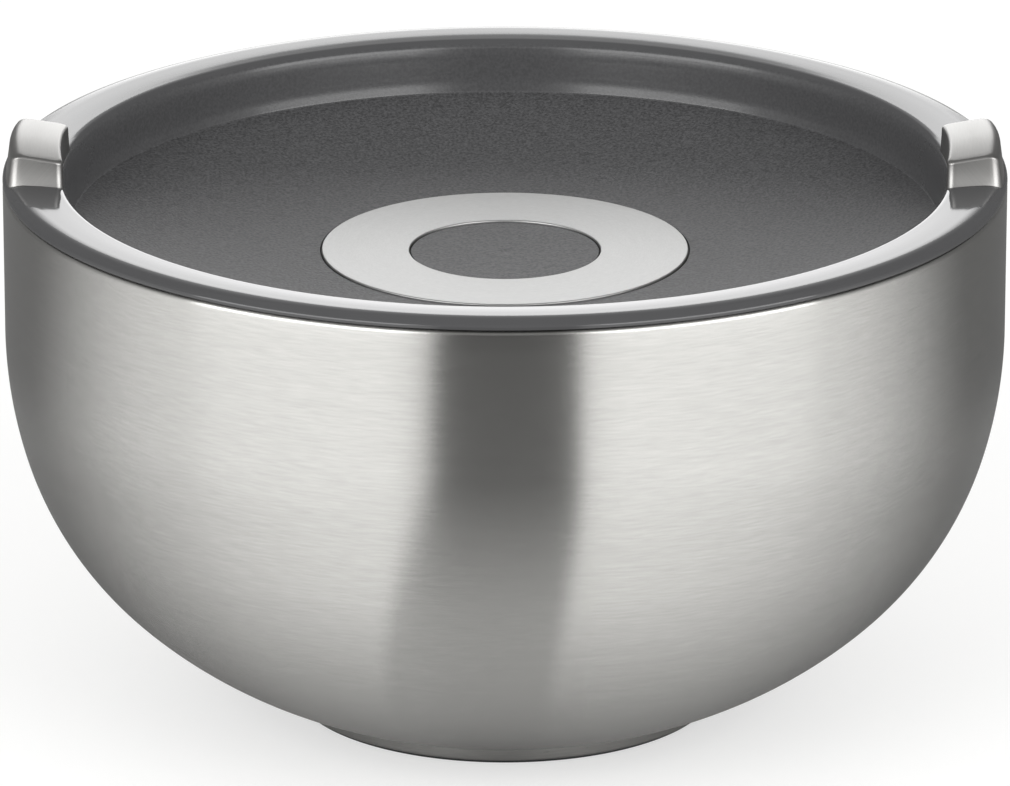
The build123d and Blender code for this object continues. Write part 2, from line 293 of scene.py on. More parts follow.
def make_object(name, places, quads, fans=()):
    """A smooth-shaded mesh object at the origin from whole arrays of places and faces."""
    mesh = bpy.data.meshes.new(name)
    faces = quads.tolist() + [row for fan in fans for row in fan.tolist()]
    mesh.from_pydata(places.tolist(), [], faces)
    mesh.update()
    mesh.shade_smooth()
    thing = bpy.data.objects.new(name, mesh)
    bpy.context.scene.collection.objects.link(thing)
    return thing


def spaced(outline):
    """Which points of an outline stand clear of the one before."""
    least = 0.002 * MM
    return np.append(True, np.linalg.norm(np.diff(outline, axis=0), axis=1) > least)


def turned(name, outline, ring=False, sides=SIDES):
    """A turned piece: the outline (radius, height) carried once round the Z axis.

    A point is (r cos a, r sin a, z). An outline that isn't a ring starts and ends on the
    axis, where one vertex closes each pole. The outline runs with the material on its left.
    """
    outline = outline[spaced(outline)]
    if not ring:
        poles, outline = outline[[0, -1]], outline[1:-1]
    turn = np.linspace(0, 2 * np.pi, sides, endpoint=False)
    rows = len(outline)
    across, up = outline[:, :1], outline[:, 1:]
    places = np.stack((across * np.cos(turn), across * np.sin(turn), up + 0 * turn), -1).reshape(-1, 3)
    row = np.arange(rows if ring else rows - 1)[:, None]
    side = np.arange(sides)[None]
    ahead = (side + 1) % sides
    here, above = row * sides, (row + 1) % rows * sides
    quads = np.stack((here + side, here + ahead, above + ahead, above + side), -1)
    fans = []
    if not ring:
        places = np.vstack((places, [[0, 0, poles[0, 1]], [0, 0, poles[1, 1]]]))
        low, high = rows * sides, rows * sides + 1
        last = (rows - 1) * sides
        fans.append(np.column_stack((np.full(sides, low), ahead[0], side[0])))
        fans.append(np.column_stack((np.full(sides, high), last + side[0], last + ahead[0])))
    return make_object(name, places, quads.reshape(-1, 4), fans)


def place(thing, body, slot, material, *nodes):
    """Put a finished piece on its body, in place of its CAD nodes, with its material."""
    thing.data.materials.append(material)
    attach(thing, body)
    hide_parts(*nodes)


def add_node(tree, kind, inputs=None, **settings):
    """Add a node, set its properties, and set or link each named or numbered input."""
    node = tree.nodes.new(kind)
    for key, value in settings.items():
        setattr(node, key, value)
    for key, value in (inputs or {}).items():
        if isinstance(value, bpy.types.NodeSocket):
            tree.links.new(value, node.inputs[key])
        else:
            node.inputs[key].default_value = value
    return node


def bare_material(name):
    """A material with an empty node tree, and that tree."""
    material = bpy.data.materials.new(name)
    material.use_nodes = True
    material.node_tree.nodes.clear()
    return material, material.node_tree


def new_material(name):
    """A node material with its surface shader, and the tree that holds it."""
    material, tree = bare_material(name)
    shader = add_node(tree, "ShaderNodeBsdfPrincipled")
    add_node(tree, "ShaderNodeOutputMaterial", {"Surface": shader.outputs["BSDF"]})
    return material, tree, shader


def round_axis(tree, run, pitch):
    """Coordinates for lines that run round the Z axis.

    Two are a unit circle scaled by run, and the third is radius plus height over the pitch of
    the lines, which grows steadily up a bowl's wall and out across a floor.
    """
    place_of = add_node(tree, "ShaderNodeTexCoord")
    flat = add_node(
        tree, "ShaderNodeVectorMath", {0: place_of.outputs["Object"], 1: (1, 1, 0)}, operation="MULTIPLY"
    )
    away = add_node(tree, "ShaderNodeVectorMath", {0: flat.outputs[0]}, operation="LENGTH")
    facing = add_node(tree, "ShaderNodeVectorMath", {0: flat.outputs[0]}, operation="NORMALIZE")
    height = add_node(tree, "ShaderNodeSeparateXYZ", {0: place_of.outputs["Object"]}).outputs["Z"]
    total = add_node(tree, "ShaderNodeMath", {0: away.outputs["Value"], 1: height}, operation="ADD")
    lines = add_node(tree, "ShaderNodeMath", {0: total.outputs[0], 1: 1 / pitch}, operation="MULTIPLY")
    level = add_node(tree, "ShaderNodeCombineXYZ", {"Z": lines.outputs[0]})
    wide = add_node(tree, "ShaderNodeVectorMath", {0: facing.outputs[0], "Scale": run}, operation="SCALE")
    return add_node(
        tree, "ShaderNodeVectorMath", {0: wide.outputs[0], 1: level.outputs[0]}, operation="ADD"
    ).outputs[0]


def steel(name, tint, rough, run, pitch, stretch):
    """Stainless steel or plate with a grain of fine lines round its axis.

    The lines scatter light across themselves, so that reflections smear up and down the
    wall and keep their side edges, and their uneven depth shows as faint hairlines. The
    hairlines are drawn about as wide as a pixel of the render, coarser than real ones.
    """
    material, tree, shader = new_material(name)
    where = round_axis(tree, run, pitch)
    # Broad passes of the belt lie under the hairs, and gloss and tone swing a little with both.
    broad, share = 0.15, 0.25
    shallow, deep = 0.27, 0.73
    swing, dark, light = 0.007, 0.94, 1.06
    noise = {"Vector": where, "Detail": 1.0}
    hairs = add_node(tree, "ShaderNodeTexNoise", {**noise, "Scale": 1.0}).outputs[0]
    passes = add_node(tree, "ShaderNodeTexNoise", {**noise, "Scale": broad}).outputs[0]
    both = add_node(tree, "ShaderNodeMix", {0: share, 2: hairs, 3: passes}, data_type="FLOAT").outputs[0]
    streaks = add_node(tree, "ShaderNodeMapRange", {"Value": both, 1: shallow, 2: deep}).outputs[0]
    gloss = add_node(tree, "ShaderNodeMapRange", {"Value": streaks, 3: rough - swing, 4: rough + swing})
    shade = add_node(tree, "ShaderNodeMix", tones(streaks, tint, dark, light), data_type="RGBA")
    grain = add_node(tree, "ShaderNodeBump", {"Height": streaks, "Strength": 0.006, "Distance": 0.01 * MM})
    turning = add_node(tree, "ShaderNodeTangent", direction_type="RADIAL", axis="Z")
    shader.inputs["Metallic"].default_value = 1.0
    shader.inputs["Anisotropic"].default_value = stretch
    shader.inputs["Anisotropic Rotation"].default_value = 0.25
    tree.links.new(shade.outputs[2], shader.inputs["Base Color"])
    tree.links.new(gloss.outputs[0], shader.inputs["Roughness"])
    tree.links.new(grain.outputs[0], shader.inputs["Normal"])
    tree.links.new(turning.outputs[0], shader.inputs["Tangent"])
    return material


def tones(share, tint, low, high):
    """Inputs of a Mix node that goes from tint times low to tint times high with the share."""
    return {0: share, 6: (*[c * low for c in tint], 1), 7: (*[min(1, c * high) for c in tint], 1)}


def moulding(name, tint, rough, grit, depth, mask=None, matt=0.5):
    """Moulded plastic, rubber or foam: smooth from a polished mould, pitted from a spark-eroded one.

    Where the mask is 1 the pits break the gloss up, which gives a dull sheen and fine
    lighter and darker specks. The grit is drawn coarser than real pits, which are too fine to show.
    """
    material, tree, shader = new_material(name)
    where = add_node(tree, "ShaderNodeTexCoord").outputs["Object"]
    # Clouds per metre, so each is about 17 mm across.
    clouds, faint = 60.0, 0.1
    noise = {"Vector": where, "Detail": 2.0}
    cloud = add_node(tree, "ShaderNodeTexNoise", {**noise, "Scale": clouds}).outputs[0]
    pits = add_node(tree, "ShaderNodeTexNoise", {**noise, "Scale": 1 / grit}).outputs[0]
    uneven = {"Value": cloud, 1: 0.15, 2: 0.85, 3: rough * 0.9, 4: rough * 1.1}
    gloss = add_node(tree, "ShaderNodeMapRange", uneven).outputs[0]
    shade = add_node(tree, "ShaderNodeMix", tones(cloud, tint, 0.96, 1.04), data_type="RGBA").outputs[2]
    bump = {"Height": pits, "Strength": faint, "Distance": depth}
    if mask:
        zone = add_node(tree, "ShaderNodeAttribute", attribute_name=mask).outputs["Fac"]
        specks = add_node(tree, "ShaderNodeMapRange", {"Value": pits, 1: 0.32, 2: 0.68}).outputs[0]
        dots = add_node(tree, "ShaderNodeMix", tones(specks, tint, 0.62, 1.4), data_type="RGBA").outputs[2]
        shade = add_node(tree, "ShaderNodeMix", {0: zone, 6: shade, 7: dots}, data_type="RGBA").outputs[2]
        gloss = add_node(tree, "ShaderNodeMix", {0: zone, 2: gloss, 3: matt}, data_type="FLOAT").outputs[0]
        rise = add_node(tree, "ShaderNodeMath", {0: zone, 1: 2.0}, operation="POWER").outputs[0]
        bump = {"Height": specks, "Strength": rise, "Distance": depth}
    tree.links.new(shade, shader.inputs["Base Color"])
    tree.links.new(gloss, shader.inputs["Roughness"])
    tree.links.new(add_node(tree, "ShaderNodeBump", bump).outputs[0], shader.inputs["Normal"])
    shader.inputs["IOR"].default_value = 1.53
    return material


class BOWL_OT_outer_shell(bpy.types.Operator):
    """Turn the outer steel wall, with its mouth bend and flange"""

    bl_idname = "bowl.outer_shell"
    bl_label = "Outer shell"

    def execute(self, context):
        bowl, finish = context.scene.bowl_sizes, context.scene.bowl_finishes
        arcs, knee = shell_path(bowl)
        top = bowl.mouth - bowl.shell_bend
        outside = wall_line(bowl.radius, top, knee, arcs, 0.0)[::-1]
        inside = wall_line(bowl.radius, top, knee, arcs, bowl.shell_wall)
        lip = bowl.radius - bowl.shell_wall - bowl.wall_gap + bowl.liner_bend
        under = bowl.mouth - bowl.shell_wall
        edge = bowl.sheet_edge
        flange = ((bowl.radius, bowl.mouth), (lip, bowl.mouth), (lip, under), (inside[0, 0], under))
        bend = rounded(
            (outside[-1], *flange, inside[0]),
            (0, bowl.shell_bend, edge, edge, bowl.shell_bend - bowl.shell_wall, 0),
        )
        bottom = ((0, bowl.base), (outside[0, 0] / 2, bowl.base))
        outline = np.concatenate((bottom, outside, bend[1:-1], inside, ((0, inside[-1, 1]),)))
        shell = turned("bowl_outer_shell", outline)
        # Brushed sheet: highlights drawn out up and down, with faint level hairlines.
        grain = steel("brushed_stainless_steel", finish.steel, 0.26, 20.0, 0.4 * MM, 0.94)
        place(shell, "bowl", "brushed_stainless", grain, "outer_shell")
        return {"FINISHED"}


class BOWL_OT_inner_liner(bpy.types.Operator):
    """Turn the inner steel wall, which shows when the lid is off"""

    bl_idname = "bowl.inner_liner"
    bl_label = "Inner liner"

    def execute(self, context):
        bowl, finish = context.scene.bowl_sizes, context.scene.bowl_finishes
        inset = bowl.shell_wall + bowl.wall_gap
        knee = shell_path(bowl)[1]
        last = np.pi / 2 - bowl.upper_turn - bowl.belly_turn - bowl.liner_turn
        arcs = (
            (bowl.upper_arc - inset, bowl.upper_turn),
            (bowl.belly_arc - inset, bowl.belly_turn),
            (bowl.lower_arc - inset, bowl.liner_turn),
            (bowl.liner_heel, last),
        )
        flange_top = bowl.mouth - bowl.shell_wall
        flange_under = flange_top - bowl.liner_wall
        outer = bowl.radius - inset
        flange_end = bowl.radius - bowl.shell_bend
        top = flange_under - bowl.liner_bend
        outside = wall_line(outer, top, knee, arcs, 0.0)[::-1]
        inside = wall_line(outer, top, knee, arcs, bowl.liner_wall)
        edge = bowl.sheet_edge
        bend = rounded(
            (
                outside[-1],
                (outer, flange_under),
                (flange_end, flange_under),
                (flange_end, flange_top),
                (outer - bowl.liner_wall, flange_top),
                inside[0],
            ),
            (0, bowl.liner_bend, edge, edge, bowl.liner_bend + bowl.liner_wall, 0),
        )
        low, high = ((0, outside[0, 1]),), ((0, inside[-1, 1]),)
        outline = np.concatenate((low, outside, bend[1:-1], inside, high))
        liner = turned("bowl_inner_liner", outline)
        # Satin sheet: a softer and wider shine than outside.
        grain = steel("satin_stainless_steel", finish.steel, 0.34, 12.0, 0.35 * MM, 0.6)
        place(liner, "bowl", "satin_stainless", grain, "inner_liner")
        return {"FINISHED"}


class BOWL_OT_foot(bpy.types.Operator):
    """Turn the welded foot ring and the silicone pad in its groove"""

    bl_idname = "bowl.foot"
    bl_label = "Foot ring and pad"

    def execute(self, context):
        bowl, finish = context.scene.bowl_sizes, context.scene.bowl_finishes
        middle = bowl.foot_radius - bowl.foot_width / 2
        inner, outer = bowl.foot_radius - bowl.foot_width, bowl.foot_radius
        near, far = middle - bowl.pad_width / 2, middle + bowl.pad_width / 2
        low, high = bowl.foot_low, bowl.base
        groove = low + bowl.pad_depth
        edge = bowl.foot_edge
        sole = ((inner, low), (near, low), (near, groove), (far, groove), (far, low), (outer, low))
        ring = rounded(
            (*sole, (outer, high), (inner, high)),
            (bowl.foot_inner_round, edge, edge, edge, edge, bowl.foot_outer_round, edge, edge),
        )
        foot = turned("bowl_foot_ring", ring, ring=True)
        # Turned steel: fine rings and a short, soft highlight.
        grain = steel("turned_stainless_steel", finish.steel, 0.28, 12.0, 0.3 * MM, 0.5)
        place(foot, "bowl", "satin_stainless", grain, "foot_ring")
        tread = rounded(
            ((near, 0), (far, 0), (far, groove), (near, groove)),
            (bowl.pad_round, bowl.pad_round, edge, edge),
            steps=9,
        )
        pad = turned("bowl_foot_pad", tread, ring=True)
        # Moulded silicone: a near-black skin with hardly any shine.
        rubber = moulding("moulded_silicone", finish.silicone, 0.55, 0.35 * MM, 0.02 * MM)
        place(pad, "bowl", "silicone", rubber, "foot_pad")
        return {"FINISHED"}


def cover_outline(lid, radius):
    """The lid cover's section and, for each of its points, how pitted its surface is.

    The section runs out under the floor, up the wall's outside and round the rim, down the
    dish's wall, and back in across the floor and the ring's recess. The floor is fully
    pitted, the wall a little and the rim not at all.
    """
    crest = lid.rim_low + lid.rim_height
    edge = crest - lid.rim_fall
    floor = floor_line(lid, 0.0, steps=28)
    below = floor_line(lid, lid.floor_thickness, steps=12)
    wall = lid.dish_radius + lid.dish_wall
    # The wall's outside reaches lower than its inside, so it leans in a little further.
    further = 1.03
    tiny = lid.moulded_edge
    roll = radius - lid.roll_width
    rim_rounds = (lid.rim_side_round, lid.roll_round, lid.crown_arc)
    dish_rounds = (lid.rim_inner_round, lid.wall_arc, lid.wall_arc, lid.floor_round)
    outside = rounded(
        (
            below[-2],
            (wall - lid.dish_draft * further, below[-1, 1] + lid.wall_foot),
            (wall, lid.rim_low),
            (radius, lid.rim_low),
            (radius, crest - lid.rim_side),
            (roll, crest - lid.roll_drop),
            ((roll + lid.dish_radius) / 2, crest - lid.crown_drop),
            (lid.dish_radius, edge),
            (lid.dish_radius - lid.shoulder_in, edge - lid.shoulder_drop),
            (lid.dish_radius - lid.bend_in, floor[-1, 1] + lid.bend_rise),
            floor[-1],
            floor[-4],
        ),
        (0, tiny, tiny, tiny, *rim_rounds, *dish_rounds, 0),
        steps=12,
    )[1:-1]
    ring_out, ring_in = lid.ring_outer + lid.ring_gap, lid.ring_inner - lid.ring_gap
    deep, clear = np.array((0, lid.recess)), 0.5 * MM
    far = floor[floor[:, 0] > ring_out + clear][:-3][::-1]
    near = floor[floor[:, 0] < ring_in - clear][::-1]
    step_out = np.array((ring_out, np.interp(ring_out, floor[:, 0], floor[:, 1])))
    step_in = np.array((ring_in, np.interp(ring_in, floor[:, 0], floor[:, 1])))
    recess = rounded(
        (far[-1], step_out, step_out - deep, step_in - deep, step_in, near[0]),
        (0, lid.recess_edge, lid.recess_corner, lid.recess_corner, lid.recess_edge, 0),
        steps=5,
    )[1:-1]
    # A shallow gate mark in the middle of the floor, where the mould was filled.
    gate_edge, gate_bed, gate_middle = (1.4 * MM, 0), (1.0 * MM, -0.1 * MM), (0, -0.12 * MM)
    gate_clear = 1.8 * MM
    gate = near[-1] + np.array((gate_edge, gate_bed, gate_middle))
    near = np.concatenate((near[near[:, 0] > gate_clear], gate))
    outline = np.concatenate((below[:-1], outside, far, recess, near))
    slack, wall_depth, wall_matt = 0.1 * MM, 1 * MM, 0.3
    inside = (outside[:, 0] < lid.dish_radius + slack) & (outside[:, 1] > floor[-1, 1] - wall_depth)
    matt = np.where(outside[:, 0] < floor[-1, 0] - slack, 1.0, wall_matt) * inside
    pitted = np.concatenate((np.zeros(len(below) - 1), matt, np.ones(len(far) + len(recess) + len(near))))
    return outline, pitted


class BOWL_OT_lid_cover(bpy.types.Operator):
    """Turn the lid's cover: glossy rim, duller wall and pitted dished floor with a recess for the ring"""

    bl_idname = "bowl.lid_cover"
    bl_label = "Lid cover"

    def execute(self, context):
        lid, finish = context.scene.lid_sizes, context.scene.bowl_finishes
        outline, pitted = cover_outline(lid, context.scene.bowl_sizes.radius)
        cover = turned("lid_cover_moulding", outline)
        pitted = pitted[spaced(outline)]
        zone = cover.data.attributes.new("pitted", "FLOAT", "POINT")
        zone.data.foreach_set("value", np.append(np.repeat(pitted[1:-1], SIDES), (0.0, 1.0)))
        # Moulded ABS: a sharp gloss on the rim, and a dull, speckled floor.
        plastic = moulding("moulded_grey_abs", finish.abs_grey, 0.08, 0.7 * MM, 0.05 * MM, "pitted", 0.52)
        place(cover, "lid", "lid_plastic", plastic, "lid_cover")
        return {"FINISHED"}


class BOWL_OT_ring_inlay(bpy.types.Operator):
    """Turn the flat steel ring that lies in the lid's floor"""

    bl_idname = "bowl.ring_inlay"
    bl_label = "Ring inlay"

    def execute(self, context):
        lid, finish = context.scene.lid_sizes, context.scene.bowl_finishes
        centre = floor_line(lid, 0.0)[0, 1] + lid.middle_arc
        radii = np.linspace(lid.ring_inner, lid.ring_outer, 24)
        low_arc = lid.middle_arc + lid.ring_thickness - lid.ring_proud
        high_arc = lid.middle_arc - lid.ring_proud
        low = np.column_stack((radii, centre - np.sqrt(low_arc**2 - radii**2)))
        high = np.column_stack((radii, centre - np.sqrt(high_arc**2 - radii**2)))[::-1]
        edge, under = lid.ring_round, lid.ring_under
        outer = rounded((low[-2], low[-1], high[0], high[1]), (0, under, edge, 0))[1:-1]
        inner = rounded((high[-2], high[-1], low[0], low[1]), (0, edge, under, 0))[1:-1]
        ring = turned("lid_ring_inlay", np.concatenate((low[1:-1], outer, high[1:-1], inner)), ring=True)
        # Satin steel: an even pale grey with almost no grain.
        grain = steel("satin_ring_steel", finish.ring, 0.42, 24.0, 0.3 * MM, 0.1)
        place(ring, "lid", "inlay_stainless", grain, "ring_inlay")
        return {"FINISHED"}


class BOWL_OT_plug(bpy.types.Operator):
    """Turn the plug under the lid and the silicone seal in its groove"""

    bl_idname = "bowl.plug"
    bl_label = "Plug and seal"

    def execute(self, context):
        lid, finish = context.scene.lid_sizes, context.scene.bowl_finishes
        groove = lid.plug_radius - lid.groove_depth
        bore, inner = lid.plug_radius - lid.plug_wall, groove - lid.plug_wall
        step = lid.seal_top + lid.groove_land
        inside = lid.plug_low + lid.plug_floor
        edge = lid.plug_edge
        outline = rounded(
            (
                (0, lid.plug_low),
                (lid.plug_radius, lid.plug_low),
                (lid.plug_radius, lid.seal_low),
                (groove, lid.seal_low),
                (groove, lid.seal_top),
                (lid.plug_radius, lid.seal_top),
                (lid.plug_radius, lid.rim_low),
                (bore, lid.rim_low),
                (bore, step),
                (inner, step),
                (inner, inside),
                (0, inside),
            ),
            (0, lid.plug_round, *[edge] * 8, lid.plug_inner_round, 0),
            steps=9,
        )
        plug = turned("lid_plug", outline)
        # Moulded plastic: a plain half-gloss grey.
        plastic = moulding("moulded_plug_plastic", finish.plug_grey, 0.3, 0.5 * MM, 0.03 * MM)
        place(plug, "lid", "plug_plastic", plastic, "lid_base")
        middle = (lid.seal_top + lid.seal_low) / 2
        lip = rounded(
            (
                (groove, lid.seal_low),
                (lid.plug_radius, lid.seal_low),
                (lid.seal_reach, middle),
                (lid.seal_reach, middle + lid.seal_tip),
                (lid.plug_radius, lid.seal_top),
                (groove, lid.seal_top),
            ),
            [edge] * 6,
        )
        seal = turned("lid_seal_ring", lip, ring=True)
        # Moulded silicone: dark, soft and barely shiny.
        rubber = moulding("moulded_seal_silicone", finish.silicone, 0.5, 0.3 * MM, 0.02 * MM)
        place(seal, "lid", "silicone", rubber, "lid_seal")
        return {"FINISHED"}


def grip_places(lid, radius):
    """Places on one grip, on a grid of levels by points round it.

    Round the grip runs a rounded rectangle: corner centres plus a circle. From the foot up,
    its half length follows the hollow end arc; then a quarter round pulls it in, a larger
    one along the outside, and rings that shrink to the middle close the crowned top. Height
    follows the sloping top:
    z = crest + h / cos(slope) - (outside - x) tan(slope), and x = sqrt(r^2 - s^2).
    """
    crest = lid.rim_low + lid.rim_height
    quarter = np.linspace(0, np.pi / 2, 9)
    run = np.linspace(1, -1, 25)[1:-1]
    side = np.linspace(1, -1, 13)[1:-1]
    turns = [quarter + k * np.pi / 2 for k in range(4)]
    flat = [np.full(len(span), (k + 1) * np.pi / 2) for k, span in enumerate((run, side, run, side))]
    around = np.concatenate([part for k in range(4) for part in (turns[k], flat[k])])
    turn_ones, run_ones, side_ones = np.ones(len(quarter)), np.ones(len(run)), np.ones(len(side))
    long_half = np.concatenate((turn_ones, run, -turn_ones, -side_ones))
    deep_half = np.concatenate((turn_ones, run_ones, turn_ones, side))
    long_sign, deep_sign = np.append(long_half, -long_half), np.append(deep_half, -deep_half)
    walls, rounds, caps = 20, 9, 8
    up = np.append(np.linspace(0, 1, walls), np.ones(rounds + caps))[:, None]
    fold = np.linspace(0, np.pi / 2, rounds + 1)[1:]
    lap = np.concatenate((np.zeros(walls), fold, np.full(caps, np.pi / 2)))[:, None]
    close = np.append(np.zeros(walls + rounds), np.linspace(0, 1, caps + 1)[1:])[:, None]
    rise, spread = lid.grip_end + lid.grip_drop, lid.grip_foot - lid.grip_half
    span = np.hypot(spread, rise)
    offset = np.sqrt(lid.grip_hollow**2 - span**2 / 4)
    middle = np.array((lid.grip_half + lid.grip_foot, lid.grip_end - lid.grip_drop)) / 2
    middle = middle + offset * np.array((rise, spread)) / span
    crown = (lid.grip_half**2 + lid.grip_crown**2) / (2 * lid.grip_crown)
    top = lid.grip_end + lid.grip_crown
    outside = np.where(deep_sign >= 1, np.sin(around) ** 2, 0.0)
    edge_round = lid.grip_round + (lid.grip_side - lid.grip_round) * outside
    shoulder = lid.grip_end - edge_round
    level = up * shoulder
    half = middle[0] - np.sqrt(lid.grip_hollow**2 - (level - middle[1]) ** 2)
    drawn = 1 - np.cos(lap)
    corner = lid.grip_corner
    ends = half - corner - lid.grip_round * drawn
    near = lid.grip_inner + corner + lid.grip_round * drawn
    far = lid.grip_outer - lid.grip_lean * up - corner - lid.grip_side * drawn
    long = (1 - close) * (ends * long_sign + corner * np.cos(around))
    reach = (far + near) / 2 + (1 - close) * ((far - near) / 2 * deep_sign + corner * np.sin(around))
    x = np.sqrt(reach**2 - long**2)
    crowned = top - (crown - np.sqrt(crown**2 - long**2))
    outline = cover_outline(lid, radius)[0]
    slack = 1e-6 * MM
    over = outline[np.argmax(outline[:, 0] > radius - slack) :]
    over = over[: np.argmax(over[:, 0] < lid.grip_inner) + 1][::-1]
    seat = np.interp(reach, over[:, 0], over[:, 1]) - lid.grip_sink
    slope = lid.grip_slope
    lean = (lid.grip_outer - x) * np.tan(slope)
    foot = (seat - crest + lean) * np.cos(slope)
    edge = crowned - edge_round
    height = foot + (edge - foot) * up + edge_round * np.sin(lap) * (up >= 1)
    z = crest + height / np.cos(slope) - lean
    return np.stack((x, long, z), axis=-1)


class BOWL_OT_grips(bpy.types.Operator):
    """Build the two plated grips on the rim, one a half turn from the other"""

    bl_idname = "bowl.grips"
    bl_label = "Grips"

    def execute(self, context):
        lid, finish = context.scene.lid_sizes, context.scene.bowl_finishes
        places = grip_places(lid, context.scene.bowl_sizes.radius)
        # Nickel plate on moulded ABS: a soft, even metal shine.
        plate = steel("satin_nickel_plated_abs", finish.plate, 0.38, 20.0, 0.3 * MM, 0.1)
        levels, count = places.shape[:2]
        row, side = np.arange(levels - 2)[:, None], np.arange(count)[None]
        ahead = (side + 1) % count
        here, above = row * count, (row + 1) * count
        quads = np.stack((above + side, above + ahead, here + ahead, here + side), -1).reshape(-1, 4)
        for name, node, sign in (("lid_grip_right", "grip_right", 1), ("lid_grip_left", "grip_left", -1)):
            shape = places[:-1] * (sign, sign, 1)
            middle = places[-1].mean(axis=0) * (sign, sign, 1)
            low = shape[0].mean(axis=0)
            cloud = np.vstack((shape.reshape(-1, 3), middle, low))
            last = (levels - 2) * count
            cap = np.column_stack((last + ahead[0], last + side[0], np.full(count, len(cloud) - 2)))
            seat = np.column_stack((side[0], ahead[0], np.full(count, len(cloud) - 1)))
            grip = make_object(name, cloud, quads, (cap, seat))
            place(grip, "lid", "grip_plastic", plate, node)
        return {"FINISHED"}


class BOWL_OT_hidden_core(bpy.types.Operator):
    """Give the foam and the adhesive ring inside the lid their materials"""

    bl_idname = "bowl.hidden_core"
    bl_label = "Foam and tape"

    def execute(self, context):
        finish = context.scene.bowl_finishes
        # Moulded foam: chalky and pale.
        foam = moulding("polyurethane_foam", finish.foam, 0.9, 0.8 * MM, 0.2 * MM)
        # Coated tape: flat and pale.
        tape = moulding("adhesive_tape", finish.tape, 0.6, 0.4 * MM, 0.01 * MM)
        for name, material in (("lid_insulation", foam), ("inlay_tape", tape)):
            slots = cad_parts[name].data.materials
            slots.clear()
            slots.append(material)
        return {"FINISHED"}


def sector(name, edges, path):
    """A card that curves round the bowl along a path of radius, height, cover and turn.

    A point is (r sin a, -r cos a, z), with a the bearing from the camera's side plus the
    path's turn. The attribute cover is the path's cover, times a smooth share that grows from
    the first edge to the second and falls from the third to the fourth.
    """
    count = 61
    away, up, cover, turn = np.array(path, float).T[:, :, None]
    across = np.linspace(edges[0], edges[-1], count)
    bearing = np.radians(across + turn)
    places = np.stack((away * np.sin(bearing), -away * np.cos(bearing), up + 0 * bearing), -1)
    places = places.reshape(-1, 3)
    row, side = np.arange(len(path) - 1)[:, None], np.arange(count - 1)[None]
    first = row * count + side
    quads = np.stack((first, first + 1, first + count + 1, first + count), -1)
    card = make_object(name, places, quads.reshape(-1, 4))
    share = np.interp(across, edges, (0, 1, 1, 0))
    values = card.data.attributes.new("cover", "FLOAT", "POINT")
    values.data.foreach_set("value", (cover * share * share * (3 - 2 * share)).ravel())
    return card


